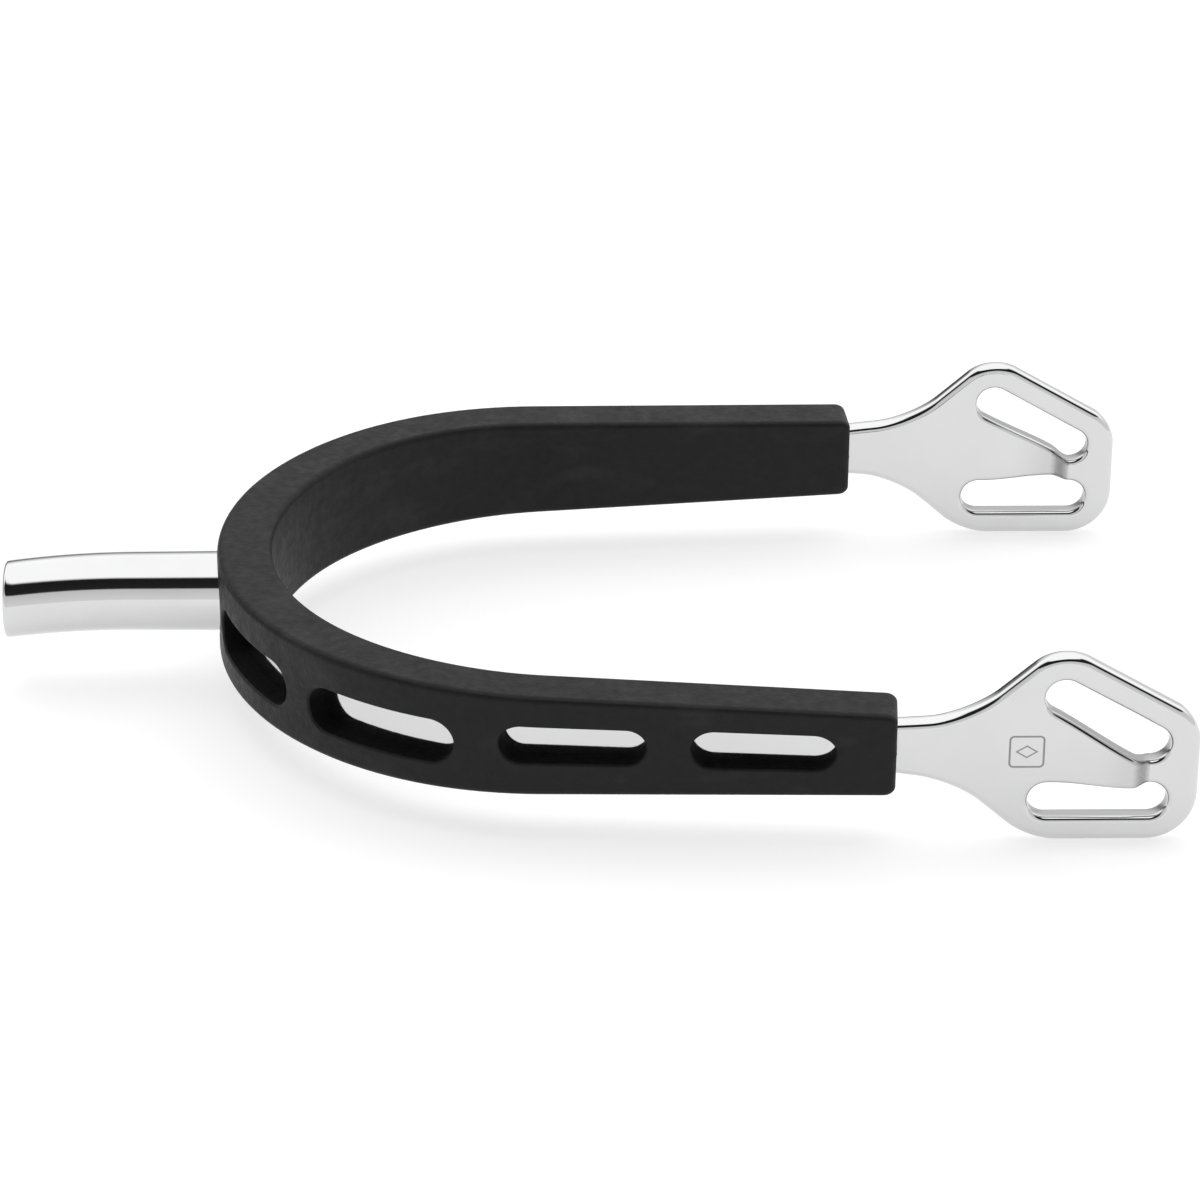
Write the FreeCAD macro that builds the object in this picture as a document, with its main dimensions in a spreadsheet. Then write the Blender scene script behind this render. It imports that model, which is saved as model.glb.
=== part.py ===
import FreeCAD, Part
import math
import os
import Sketcher

# English riding spur with a rubber grip sleeve round its heel band.
# Frame: the origin is where the boot heel rests against the sleeve, midway up it.
# +X runs from heel to toe along the branches, +Y and -Y are the two branches, +Z is up.
# The neck points backwards, along -X.  Lengths are millimetres and angles are degrees.

SIZES = [
    # heel curve, shared by band and sleeve
    ("seat_radius", 35.8),           # radius of the sleeve's inner face round the boot heel
    ("branch_flare", 3.95),          # each branch opens outwards by this angle
    ("band_flare", 5.0),             # the steel opens a little more than its rubber
    ("inner_wall", 1.45),            # rubber between the boot and the steel
    ("band_thickness", 2.7),
    ("outer_wall", 2.65),            # rubber outside the steel
    ("branch_reach", 74.4),          # from the centre of the heel curve to the branches' ends
    ("bare_length", 35.6),           # steel beyond the sleeve's open ends, measured along X
    # sleeve
    ("sleeve_heel_height", 13.9),
    ("taper_start", 6.0),            # x where band and sleeve start to get lower
    ("taper_angle", 1.6),            # slope of the sleeve's top and bottom along the branches
    ("taper_blend", 700.0),          # radius that leads from level into that slope
    ("sleeve_edge_radius", 0.9),
    ("sleeve_corner_radius", 1.4),   # upright corners of the sleeve's open ends
    ("heel_window_length", 20.4),
    ("heel_window_height", 5.7),
    ("heel_window_rise", -0.57),
    ("branch_window_length", 17.0),
    ("branch_window_height", 4.6),
    ("branch_window_rise", 0.25),     # branch windows sit a little above mid-height
    ("first_bearing", 24.7),         # angle round the heel from the neck to the window
    ("second_bearing", 58.1),
    ("third_along", 3.9),            # distance along the straight of the branch
    ("fourth_along", 26.1),
    # heel band
    ("band_heel_height", 11.2),
    ("band_exit_height", 6.8),       # height of the steel where it leaves the sleeve
    ("plate_spread", 3.8),           # each plate lies this far outside the heel curve's radius
    ("plate_depth", 12.2),           # foot of the plate below mid-height
    ("peak_back", 16.8),             # each "back" is measured from the plate's end
    ("brow_height", 3.77),           # height at which the sloping top edge meets the end
    ("brow_angle", 30.0),
    ("foot_back", 19.8),
    ("crook_top_back", 27.3),
    ("crook_low_back", 29.1),
    ("crook_height", 4.12),
    ("peak_radius", 5.6),
    ("brow_radius", 5.1),
    ("heel_corner_radius", 6.0),
    ("foot_radius", 9.0),
    ("crook_radius", 14.0),
    # strap slots and the tongue between them
    ("slot_length", 16.5),
    ("slot_width", 4.5),
    ("rim_width", 3.55),             # steel between the slots and the plate's end
    ("upper_bar", 3.3),
    ("lower_bar", 3.17),
    ("tongue_length", 8.4),
    ("tongue_ramp", 2.2),            # the tongue drops back to the rim over this length
    ("tongue_rise", 1.6),            # the tongue stands this far outside the rim
    # neck
    ("neck_diameter", 10.05),
    ("neck_tip_diameter", 9.7),
    ("neck_straight", 13.6),
    ("neck_bend_radius", 117.0),
    ("neck_reach", 33.4),            # x distance from the origin back to the tip
    ("neck_edge_radius", 0.5),
    ("neck_gap", 0.12),              # air between the neck and the hole in the rubber
    ("seat_depth", 0.35),            # flat spot cut in the band for the neck's shoulder
    ("seat_clearance", 0.1),
    ("tenon_diameter", 6.0),
    ("tenon_clearance", 0.05),
    ("tenon_gap", 0.2),              # air between the tenon and the rubber inside the heel
]

TRIM_WIDTH = "400"                   # a cut right across the part is this wide
FRAME_MARGIN = "30"                  # a trimming frame stands this far outside the part
PAST = "5"                           # a cutter runs this far past the face that it opens
STOCK_HEIGHT = "4 * Sizes.plate_depth"
SAME_PLACE = 0.05                    # an edge this close to a named corner is that corner

doc = FreeCAD.newDocument("Spur")
sheet = doc.addObject("Spreadsheet::Sheet", "Sizes")
for row, (alias, number) in enumerate(SIZES, start=1):
    sheet.set("A%d" % row, alias)
    sheet.set("B%d" % row, str(number))
    sheet.setAlias("B%d" % row, alias)
doc.recompute()


def size(alias):
    """The number held by one cell of the sheet."""
    return float(sheet.get(alias))


plate_end = size("seat_radius") + size("branch_reach")
sleeve_end = plate_end - size("bare_length")

# Expressions that several pieces share.  Every name is a cell of the sheet.
INNER_FACE = "Sizes.inner_wall"                                # band's inner face at the heel
OUTER_FACE = "(Sizes.inner_wall + Sizes.band_thickness)"       # band's outer face at the heel
BAND_IN_RADIUS = "(Sizes.seat_radius + Sizes.inner_wall)"
BAND_OUT_RADIUS = "(Sizes.seat_radius + Sizes.inner_wall + Sizes.band_thickness)"
SLEEVE_OUT_RADIUS = "(" + BAND_OUT_RADIUS + " + Sizes.outer_wall)"
PLATE_IN = "(" + BAND_IN_RADIUS + " + Sizes.plate_spread)"
PLATE_OUT = "(" + BAND_OUT_RADIUS + " + Sizes.plate_spread)"
PLATE_END = "(Sizes.seat_radius + Sizes.branch_reach)"
SLEEVE_END = "(" + PLATE_END + " - Sizes.bare_length)"
SHOULDER = "(" + OUTER_FACE + " - Sizes.seat_depth)"           # the neck's shoulder, along -X
SLOT_TIP_X = "(" + PLATE_END + " - Sizes.rim_width - Sizes.slot_width / 2)"
SLOT_SPAN = "(Sizes.slot_length - Sizes.slot_width)"
LOW_SLOT_Z = "(Sizes.lower_bar + Sizes.slot_width / 2 - Sizes.plate_depth)"
BROW = "(Sizes.brow_angle * 1 deg)"
UP_SLOT_Z = (
    "(Sizes.brow_height + tan(" + BROW + ") * (" + PLATE_END + " - " + SLOT_TIP_X + ")"
    " - (Sizes.upper_bar + Sizes.slot_width / 2) / cos(" + BROW + "))"
)
PEAK_Z = "(Sizes.brow_height + tan(" + BROW + ") * Sizes.peak_back)"
WEB_STEP = "(Sizes.slot_width * 0.36)"                         # stays inside the slots' round ends
WEB_X = "(" + SLOT_TIP_X + " + " + WEB_STEP + ")"
ROOT_X = "(" + SLOT_TIP_X + " - Sizes.tongue_length)"


# ---------------------------------------------------------------- sketch helpers
def new_body(label):
    """A body whose Name and Label are the same."""
    body = doc.addObject("PartDesign::Body", label)
    body.Label = label
    return body


def new_sketch(body, role, label):
    """A sketch lying on one of its own body's origin planes."""
    sketch = body.newObject("Sketcher::SketchObject", label)
    plane = next(item for item in body.Origin.OriginFeatures if item.Role == role)
    sketch.AttachmentSupport = [(plane, "")]
    sketch.MapMode = "FlatFace"
    return sketch


def bind(sketch, kind, *where, to):
    """Add a dimension to a sketch and bind it to an expression."""
    index = sketch.addConstraint(Sketcher.Constraint(kind, *where))
    sketch.setExpression("Constraints[%d]" % index, to)


def pin(sketch, geometry, position, place_x, place_y):
    """Fix one point of a sketch at two expressions."""
    point = sketch.getPoint(geometry, position)
    bind(sketch, "DistanceX", geometry, position, point.x, to=place_x)
    bind(sketch, "DistanceY", geometry, position, point.y, to=place_y)


def polygon(sketch, corners):
    """A closed loop of straight lines with a pair of expressions for each corner."""
    count = len(corners)
    first = sketch.GeometryCount
    ring = []
    for step in range(count):
        turn = 2 * math.pi * step / count
        ring.append(FreeCAD.Vector(50 * math.cos(turn), 50 * math.sin(turn), 0))
    for step in range(count):
        sketch.addGeometry(Part.LineSegment(ring[step], ring[(step + 1) % count]))
    for step in range(count):
        following = first + (step + 1) % count
        sketch.addConstraint(Sketcher.Constraint("Coincident", first + step, 2, following, 1))
    for step, (place_x, place_y) in enumerate(corners):
        pin(sketch, first + step, 1, place_x, place_y)


def circle(sketch, guess, radius):
    """A circle round the sketch's origin, its radius bound to an expression."""
    shape = Part.Circle(FreeCAD.Vector(0, 0, 0), FreeCAD.Vector(0, 0, 1), guess)
    index = sketch.addGeometry(shape)
    pin(sketch, index, 3, "0", "0")
    bind(sketch, "Radius", index, guess, to=radius)


def stadium(sketch, length, width):
    """A slot with round ends, centred on the sketch's origin and lying along its X."""
    radius = size(width) / 2
    reach = (size(length) - size(width)) / 2
    up = FreeCAD.Vector(0, 0, 1)
    left = Part.Circle(FreeCAD.Vector(-reach, 0, 0), up, radius)
    right = Part.Circle(FreeCAD.Vector(reach, 0, 0), up, radius)
    left_cap = sketch.addGeometry(Part.ArcOfCircle(left, math.pi / 2, 3 * math.pi / 2))
    right_cap = sketch.addGeometry(Part.ArcOfCircle(right, -math.pi / 2, math.pi / 2))
    lower = sketch.addGeometry(
        Part.LineSegment(FreeCAD.Vector(-reach, -radius, 0), FreeCAD.Vector(reach, -radius, 0)))
    upper = sketch.addGeometry(
        Part.LineSegment(FreeCAD.Vector(reach, radius, 0), FreeCAD.Vector(-reach, radius, 0)))
    for one, other in ((left_cap, lower), (lower, right_cap), (right_cap, upper), (upper, left_cap)):
        sketch.addConstraint(Sketcher.Constraint("Tangent", one, 2, other, 1))
    half_span = "(Sizes.%s - Sizes.%s) / 2" % (length, width)
    pin(sketch, left_cap, 3, "-" + half_span, "0")
    pin(sketch, right_cap, 3, half_span, "0")
    bind(sketch, "Radius", right_cap, radius, to="Sizes.%s / 2" % width)


def arch(sketch, arc_radius, arc_radius_to, branches, flare_size):
    """One edge of the U in plan: an arc round the heel, then straight lines on each side.

    branches is a list of points after the arc, on the +Y side, as (guess, x, y) with
    expressions for x and y, or None for a value that the slope of the line settles.
    flare_size names the cell that holds the angle at which the straight lines open.
    Returns the arc's index and each side's list of line indexes, from the arc outwards.
    """
    flare = math.radians(size(flare_size))
    centre = FreeCAD.Vector(size("seat_radius"), 0, 0)
    whole = Part.Circle(centre, FreeCAD.Vector(0, 0, 1), arc_radius)
    start = math.pi / 2 + flare
    arc = sketch.addGeometry(Part.ArcOfCircle(whole, start, 2 * math.pi - start))
    pin(sketch, arc, 3, "Sizes.seat_radius", "0")
    bind(sketch, "Radius", arc, arc_radius, to=arc_radius_to)
    sides = []
    for mirror, arc_end in ((1, 1), (-1, 2)):
        last = sketch.getPoint(arc, arc_end)
        lines = []
        for guess, _, _ in branches:
            corner = FreeCAD.Vector(guess[0], mirror * guess[1], 0)
            lines.append(sketch.addGeometry(Part.LineSegment(last, corner)))
            last = corner
        sketch.addConstraint(Sketcher.Constraint("Tangent", arc, arc_end, lines[0], 1))
        slope = mirror * flare
        bind(sketch, "Angle", lines[0], slope, to="%d * Sizes.%s * 1 deg" % (mirror, flare_size))
        for one, other in zip(lines, lines[1:]):
            sketch.addConstraint(Sketcher.Constraint("Coincident", one, 2, other, 1))
        for line, (guess, place_x, place_y) in zip(lines, branches):
            if place_x:
                bind(sketch, "DistanceX", line, 2, guess[0], to=place_x)
            if place_y:
                sign = "" if mirror > 0 else "-"
                bind(sketch, "DistanceY", line, 2, mirror * guess[1], to=sign + place_y)
        sides.append(lines)
    return arc, sides


def cap(sketch, outer_sides, inner_sides):
    """Join the outer and inner edges of the U with a straight line at each end."""
    for outer, inner in zip(outer_sides, inner_sides):
        start = sketch.getPoint(outer[-1], 2)
        end = sketch.getPoint(inner[-1], 2)
        line = sketch.addGeometry(Part.LineSegment(start, end))
        sketch.addConstraint(Sketcher.Constraint("Coincident", outer[-1], 2, line, 1))
        sketch.addConstraint(Sketcher.Constraint("Coincident", inner[-1], 2, line, 2))


def flare_point(radius, flare_size, x=None, y=None):
    """Where the straight edge that leaves an arc of this radius reaches x, or reaches y."""
    flare = math.radians(size(flare_size))
    start_x = size("seat_radius") - radius * math.sin(flare)
    start_y = radius * math.cos(flare)
    if x is None:
        x = start_x + (y - start_y) / math.tan(flare)
    return (x, start_y + (x - start_x) * math.tan(flare))


# ---------------------------------------------------------------- feature helpers
def pad(body, sketch, label, length, symmetric=True):
    """Pad a sketch to a length given by an expression."""
    feature = body.newObject("PartDesign::Pad", label)
    feature.Profile = sketch
    feature.SideType = "Symmetric" if symmetric else "One side"
    feature.setExpression("Length", length)
    doc.recompute()
    return feature


def pocket(body, sketch, label, length, symmetric=True, reverse=False):
    """Pocket a sketch and make sure that it took something away."""
    before = body.Tip.Shape.Volume
    feature = body.newObject("PartDesign::Pocket", label)
    feature.Profile = sketch
    feature.SideType = "Symmetric" if symmetric else "One side"
    feature.Reversed = reverse
    feature.setExpression("Length", length)
    doc.recompute()
    if feature.Shape.Volume >= before:
        raise RuntimeError(label + " cuts nothing")
    return feature


def fillet(body, label, edges, radius):
    """Round some edges of a body's tip to the radius in one cell of the sheet."""
    base = body.Tip
    feature = body.newObject("PartDesign::Fillet", label)
    feature.Base = (base, edges)
    feature.setExpression("Radius", "Sizes." + radius)
    doc.recompute()


def corner_edges(shape, place_x, place_z):
    """Names of the edges that run along Y through one corner of the side view."""
    names = []
    for number, edge in enumerate(shape.Edges, start=1):
        box = edge.BoundBox
        thin = box.XLength < SAME_PLACE and box.ZLength < SAME_PLACE
        near_x = abs(box.Center.x - place_x) < SAME_PLACE
        near_z = abs(box.Center.z - place_z) < SAME_PLACE
        if thin and near_x and near_z:
            names.append("Edge%d" % number)
    return names


def round_corner(body, label, place_x, place_z, radius):
    """Fillet both branches' edges at one corner of the side view."""
    names = corner_edges(body.Tip.Shape, place_x, place_z)
    if not names:
        raise RuntimeError(label + " finds no edge")
    fillet(body, label, names, radius)


def frame_and(sketch, corners):
    """A large frame with the given outline as its hole, for trimming to that outline."""
    left = "-Sizes.neck_reach - " + FRAME_MARGIN
    right = PLATE_END + " + " + FRAME_MARGIN
    tall = "Sizes.plate_depth + " + FRAME_MARGIN
    low = "-Sizes.plate_depth - " + FRAME_MARGIN
    polygon(sketch, [(left, low), (right, low), (right, tall), (left, tall)])
    polygon(sketch, corners)


# ---------------------------------------------------------------- heel band
def build_band_blank():
    """The U of flat bar with its plates, trimmed to its side view, before the slots."""
    body = new_body("band_blank")
    plan = new_sketch(body, "XY_Plane", "band_plan")
    inner_radius = size("seat_radius") + size("inner_wall")
    outer_radius = inner_radius + size("band_thickness")
    out_y = outer_radius + size("plate_spread")
    in_y = inner_radius + size("plate_spread")
    _, outer = arch(plan, outer_radius, BAND_OUT_RADIUS, [
        (flare_point(outer_radius, "band_flare", y=out_y), None, PLATE_OUT),
        ((plate_end, out_y), PLATE_END, PLATE_OUT),
    ], "band_flare")
    _, inner = arch(plan, inner_radius, BAND_IN_RADIUS, [
        (flare_point(inner_radius, "band_flare", y=in_y), None, PLATE_IN),
        ((plate_end, in_y), PLATE_END, PLATE_IN),
    ], "band_flare")
    cap(plan, outer, inner)
    pad(body, plan, "band_height", STOCK_HEIGHT)

    trim = new_sketch(body, "XZ_Plane", "band_side")
    heel = "Sizes.band_heel_height / 2"
    leave = "Sizes.band_exit_height / 2"
    behind = "-" + OUTER_FACE + " - " + PAST
    frame_and(trim, [
        (behind, heel),
        ("Sizes.taper_start", heel),
        (SLEEVE_END, leave),
        (PLATE_END + " - Sizes.crook_top_back", "Sizes.crook_height"),
        (PLATE_END + " - Sizes.peak_back", PEAK_Z),
        (PLATE_END, "Sizes.brow_height"),
        (PLATE_END, "-Sizes.plate_depth"),
        (PLATE_END + " - Sizes.foot_back", "-Sizes.plate_depth"),
        (PLATE_END + " - Sizes.crook_low_back", "-Sizes.crook_height"),
        (SLEEVE_END, "-" + leave),
        ("Sizes.taper_start", "-" + heel),
        (behind, "-" + heel),
    ])
    pocket(body, trim, "trim_to_side_view", TRIM_WIDTH)

    depth = size("plate_depth")
    crook = size("crook_height")
    peak_z = size("brow_height") + math.tan(math.radians(size("brow_angle"))) * size("peak_back")
    for label, back, place_z, radius in (
        ("peak", size("peak_back"), peak_z, "peak_radius"),
        ("brow", 0.0, size("brow_height"), "brow_radius"),
        ("heel_corner", 0.0, -depth, "heel_corner_radius"),
        ("foot", size("foot_back"), -depth, "foot_radius"),
        ("crook_top", size("crook_top_back"), crook, "crook_radius"),
        ("crook_low", size("crook_low_back"), -crook, "crook_radius"),
    ):
        round_corner(body, label, plate_end - back, place_z, radius)

    tongue_gap = new_sketch(body, "XZ_Plane", "tongue_gap_side")
    polygon(tongue_gap, tongue_corners())
    pocket(body, tongue_gap, "tongue_gap", TRIM_WIDTH)

    hole = new_sketch(body, "YZ_Plane", "tenon_hole_outline")
    circle(hole, size("tenon_diameter") / 2, "Sizes.tenon_diameter / 2 + Sizes.tenon_clearance")
    pocket(body, hole, "tenon_hole", OUTER_FACE + " + " + PAST, symmetric=False)

    spot = new_sketch(body, "YZ_Plane", "neck_seat_outline")
    spot.setExpression("AttachmentOffset.Base.z", "-" + SHOULDER)
    circle(spot, size("neck_diameter") / 2, "Sizes.neck_diameter / 2 + Sizes.seat_clearance")
    pocket(body, spot, "neck_seat", PAST, symmetric=False)
    return body


def tongue_corners():
    """Side view of the tongue's blank: its long edges run down the middles of the slots."""
    slope = "tan(" + BROW + ")"
    top_root = UP_SLOT_Z + " + " + slope + " * Sizes.tongue_length"
    top_web = UP_SLOT_Z + " - " + slope + " * " + WEB_STEP
    return [(ROOT_X, top_root), (ROOT_X, LOW_SLOT_Z), (WEB_X, LOW_SLOT_Z), (WEB_X, top_web)]


def build_tongues():
    """The wedge between each plate's slots, pressed outwards and stepped back at its tip."""
    bodies = []
    for side, mirror in (("right", "-"), ("left", "")):
        body = new_body("tongue_" + side)
        plan = new_sketch(body, "XY_Plane", "tongue_plan_" + side)
        crest_x = SLOT_TIP_X + " - Sizes.tongue_ramp"
        polygon(plan, [
            (ROOT_X, mirror + PLATE_OUT),
            (crest_x, mirror + "(" + PLATE_OUT + " + Sizes.tongue_rise)"),
            (SLOT_TIP_X, mirror + PLATE_OUT),
            (WEB_X, mirror + PLATE_OUT),
            (WEB_X, mirror + PLATE_IN),
            (SLOT_TIP_X, mirror + PLATE_IN),
            (crest_x, mirror + "(" + PLATE_IN + " + Sizes.tongue_rise)"),
            (ROOT_X, mirror + PLATE_IN),
        ])
        pad(body, plan, "tongue_height_" + side, STOCK_HEIGHT)
        trim = new_sketch(body, "XZ_Plane", "tongue_side_" + side)
        frame_and(trim, tongue_corners())
        pocket(body, trim, "trim_tongue_" + side, TRIM_WIDTH)
        bodies.append(body)
    return bodies


def build_slot_tool(label, centre_x, centre_z, tilt):
    """A bar that cuts one strap slot through both plates."""
    body = new_body(label)
    outline = new_sketch(body, "XZ_Plane", label + "_outline")
    stadium(outline, "slot_length", "slot_width")
    pad(body, outline, label + "_length", TRIM_WIDTH)
    body.Placement = FreeCAD.Placement(FreeCAD.Vector(), FreeCAD.Rotation(FreeCAD.Vector(0, 1, 0), 1))
    body.setExpression("Placement.Base.x", centre_x)
    body.setExpression("Placement.Base.z", centre_z)
    body.setExpression("Placement.Rotation.Angle", tilt)
    return body


def build_heel_band():
    """Blank and tongues in one piece, with both pairs of strap slots cut through."""
    blank = build_band_blank()
    tongues = build_tongues()
    half_span = SLOT_SPAN + " / 2"
    upper = build_slot_tool(
        "upper_slot",
        SLOT_TIP_X + " - " + half_span + " * cos(" + BROW + ")",
        UP_SLOT_Z + " + " + half_span + " * sin(" + BROW + ")",
        BROW,
    )
    lower = build_slot_tool("lower_slot", SLOT_TIP_X + " - " + half_span, LOW_SLOT_Z, "0 deg")
    whole = doc.addObject("Part::MultiFuse", "band_with_tongues")
    whole.Shapes = [blank] + tongues
    whole.Refine = True
    slots = doc.addObject("Part::MultiFuse", "strap_slots")
    slots.Shapes = [upper, lower]
    band = doc.addObject("Part::Cut", "heel_band")
    band.Base = whole
    band.Tool = slots
    band.Refine = True
    band.Label = "heel_band"
    doc.recompute()
    return band


# ---------------------------------------------------------------- neck
def build_neck():
    """The round neck: straight, then drooping to its tip, with a tenon into the band."""
    body = new_body("neck")
    bend_x = -(size("inner_wall") + size("band_thickness") - size("seat_depth")) - size("neck_straight")
    turn = math.asin((size("neck_reach") + bend_x) / size("neck_bend_radius"))
    radius = size("neck_bend_radius")

    path = new_sketch(body, "XZ_Plane", "neck_axis")
    start = FreeCAD.Vector(bend_x + size("neck_straight"), 0, 0)
    bend = FreeCAD.Vector(bend_x, 0, 0)
    line = path.addGeometry(Part.LineSegment(start, bend))
    round_centre = Part.Circle(FreeCAD.Vector(bend_x, -radius, 0), FreeCAD.Vector(0, 0, 1), radius)
    arc = path.addGeometry(Part.ArcOfCircle(round_centre, math.pi / 2, math.pi / 2 + turn))
    pin(path, line, 1, "-" + SHOULDER, "0")
    bind(path, "DistanceX", line, 2, bend_x, to="-" + SHOULDER + " - Sizes.neck_straight")
    path.addConstraint(Sketcher.Constraint("Horizontal", line))
    path.addConstraint(Sketcher.Constraint("Tangent", line, 2, arc, 1))
    bind(path, "Radius", arc, radius, to="Sizes.neck_bend_radius")
    bind(path, "DistanceX", arc, 2, -size("neck_reach"), to="-Sizes.neck_reach")

    root = new_sketch(body, "YZ_Plane", "neck_root")
    root.setExpression("AttachmentOffset.Base.z", "-" + SHOULDER)
    circle(root, size("neck_diameter") / 2, "Sizes.neck_diameter / 2")

    tip = new_sketch(body, "YZ_Plane", "neck_tip")
    droop = "asin((Sizes.neck_reach - " + SHOULDER + " - Sizes.neck_straight) / Sizes.neck_bend_radius)"
    tip.setExpression("AttachmentOffset.Base.z", "-Sizes.neck_reach")
    tip.setExpression("AttachmentOffset.Base.y", "-Sizes.neck_bend_radius * (1 - cos(" + droop + "))")
    circle(tip, size("neck_tip_diameter") / 2, "Sizes.neck_tip_diameter / 2")
    doc.recompute()

    pipe = body.newObject("PartDesign::AdditivePipe", "neck_bar")
    pipe.Profile = root
    pipe.Spine = (path, ["Edge1", "Edge2"])
    pipe.Transformation = "Multisection"
    pipe.Sections = [(tip, [""])]
    doc.recompute()

    rim = [
        "Edge%d" % number
        for number, edge in enumerate(pipe.Shape.Edges, start=1)
        if abs(edge.BoundBox.XMax + size("neck_reach")) < SAME_PLACE
    ]
    fillet(body, "tip_edge", rim, "neck_edge_radius")

    tenon = new_sketch(body, "YZ_Plane", "tenon_outline")
    tenon.setExpression("AttachmentOffset.Base.z", "-" + SHOULDER)
    circle(tenon, size("tenon_diameter") / 2, "Sizes.tenon_diameter / 2")
    pad(body, tenon, "tenon", "Sizes.band_thickness - Sizes.seat_depth", symmetric=False)
    return body


# ---------------------------------------------------------------- grip sleeve
def build_sleeve_blank():
    """The solid rubber U, tapering in height towards its open ends, edges rounded."""
    body = new_body("sleeve_blank")
    plan = new_sketch(body, "XY_Plane", "sleeve_plan")
    inner_radius = size("seat_radius")
    outer_radius = inner_radius + size("inner_wall") + size("band_thickness") + size("outer_wall")
    _, outer = arch(plan, outer_radius, SLEEVE_OUT_RADIUS, [
        (flare_point(outer_radius, "branch_flare", x=sleeve_end), SLEEVE_END, None)], "branch_flare")
    _, inner = arch(plan, inner_radius, "Sizes.seat_radius", [
        (flare_point(inner_radius, "branch_flare", x=sleeve_end), SLEEVE_END, None)], "branch_flare")
    cap(plan, outer, inner)
    pad(body, plan, "sleeve_height", "Sizes.sleeve_heel_height")

    for name, up in (("top", 1), ("bottom", -1)):
        taper = new_sketch(body, "XZ_Plane", "sleeve_" + name)
        taper_outline(taper, up)
        pocket(body, taper, "taper_" + name, TRIM_WIDTH)

    corners = [
        "Edge%d" % number
        for number, edge in enumerate(body.Tip.Shape.Edges, start=1)
        if abs(edge.BoundBox.XMin - sleeve_end) < SAME_PLACE and edge.BoundBox.ZLength > 1
    ]
    fillet(body, "end_corners", corners, "sleeve_corner_radius")
    sharp = [
        "Edge%d" % number
        for number, edge in enumerate(body.Tip.Shape.Edges, start=1)
        if edge.BoundBox.XLength > SAME_PLACE
    ]
    fillet(body, "sleeve_edges", sharp, "sleeve_edge_radius")
    return body


def taper_outline(sketch, up):
    """What is cut off the top (up = 1) or bottom (up = -1) of the sleeve's side view."""
    slope = math.radians(size("taper_angle"))
    blend = size("taper_blend")
    level = size("sleeve_heel_height") / 2
    start_x = size("taper_start")
    bend_x = start_x + blend * math.sin(slope)
    bend_z = level - blend * (1 - math.cos(slope))
    far_x = sleeve_end + float(PAST)
    far_z = bend_z - (far_x - bend_x) * math.tan(slope)
    clear_z = level + float(PAST)
    start = FreeCAD.Vector(start_x, up * level, 0)
    bend = FreeCAD.Vector(bend_x, up * bend_z, 0)
    far = FreeCAD.Vector(far_x, up * far_z, 0)
    far_corner = FreeCAD.Vector(far_x, up * clear_z, 0)
    near_corner = FreeCAD.Vector(start_x, up * clear_z, 0)
    centre = FreeCAD.Vector(start_x, up * (level - blend), 0)
    whole = Part.Circle(centre, FreeCAD.Vector(0, 0, 1), blend)
    if up > 0:
        turn = (math.pi / 2 - slope, math.pi / 2)
        arc_start, arc_end = 2, 1
    else:
        turn = (-math.pi / 2, slope - math.pi / 2)
        arc_start, arc_end = 1, 2
    arc = sketch.addGeometry(Part.ArcOfCircle(whole, *turn))
    incline = sketch.addGeometry(Part.LineSegment(bend, far))
    far_side = sketch.addGeometry(Part.LineSegment(far, far_corner))
    lid = sketch.addGeometry(Part.LineSegment(far_corner, near_corner))
    near_side = sketch.addGeometry(Part.LineSegment(near_corner, start))
    sketch.addConstraint(Sketcher.Constraint("Tangent", arc, arc_end, incline, 1))
    for one, other in ((incline, far_side), (far_side, lid), (lid, near_side)):
        sketch.addConstraint(Sketcher.Constraint("Coincident", one, 2, other, 1))
    sketch.addConstraint(Sketcher.Constraint("Coincident", near_side, 2, arc, arc_start))
    sketch.addConstraint(Sketcher.Constraint("Vertical", far_side))
    sketch.addConstraint(Sketcher.Constraint("Vertical", near_side))
    sketch.addConstraint(Sketcher.Constraint("Horizontal", lid))
    sign = "" if up > 0 else "-"
    pin(sketch, arc, 3, "Sizes.taper_start", sign + "(Sizes.sleeve_heel_height / 2 - Sizes.taper_blend)")
    bind(sketch, "Radius", arc, blend, to="Sizes.taper_blend")
    bind(sketch, "Angle", incline, -up * slope, to="%d * Sizes.taper_angle * 1 deg" % -up)
    bind(sketch, "DistanceX", near_side, 2, start_x, to="Sizes.taper_start")
    bind(sketch, "DistanceX", incline, 2, far_x, to=SLEEVE_END + " + " + PAST)
    clear = "(Sizes.sleeve_heel_height / 2 + " + PAST + ")"
    bind(sketch, "DistanceY", lid, 2, up * clear_z, to=sign + clear)


def build_window_tool(label, side, length, height, bearing, along, rise):
    """A cutter for one window, from inside the steel straight out through the rubber."""
    body = new_body(label)
    outline = new_sketch(body, "XZ_Plane", label + "_outline")
    stadium(outline, length, height)
    reach = "Sizes.band_thickness / 2 + Sizes.outer_wall + " + PAST
    pad(body, outline, label + "_depth", reach, symmetric=False)
    body.Placement = FreeCAD.Placement(FreeCAD.Vector(), FreeCAD.Rotation(FreeCAD.Vector(0, 0, 1), 1))
    start = "(" + BAND_IN_RADIUS + " + Sizes.band_thickness / 2)"
    turn = "(" + bearing + " * 1 deg)"
    body.setExpression(
        "Placement.Base.x",
        "Sizes.seat_radius - " + start + " * cos(" + turn + ") + " + along + " * sin(" + turn + ")")
    body.setExpression(
        "Placement.Base.y",
        side + "(" + start + " * sin(" + turn + ") + " + along + " * cos(" + turn + "))")
    body.setExpression("Placement.Base.z", rise)
    if side == "-":
        body.setExpression("Placement.Rotation.Angle", turn + " - 90 deg")
    else:
        body.setExpression("Placement.Rotation.Angle", "270 deg - " + turn)
    return body


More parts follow.
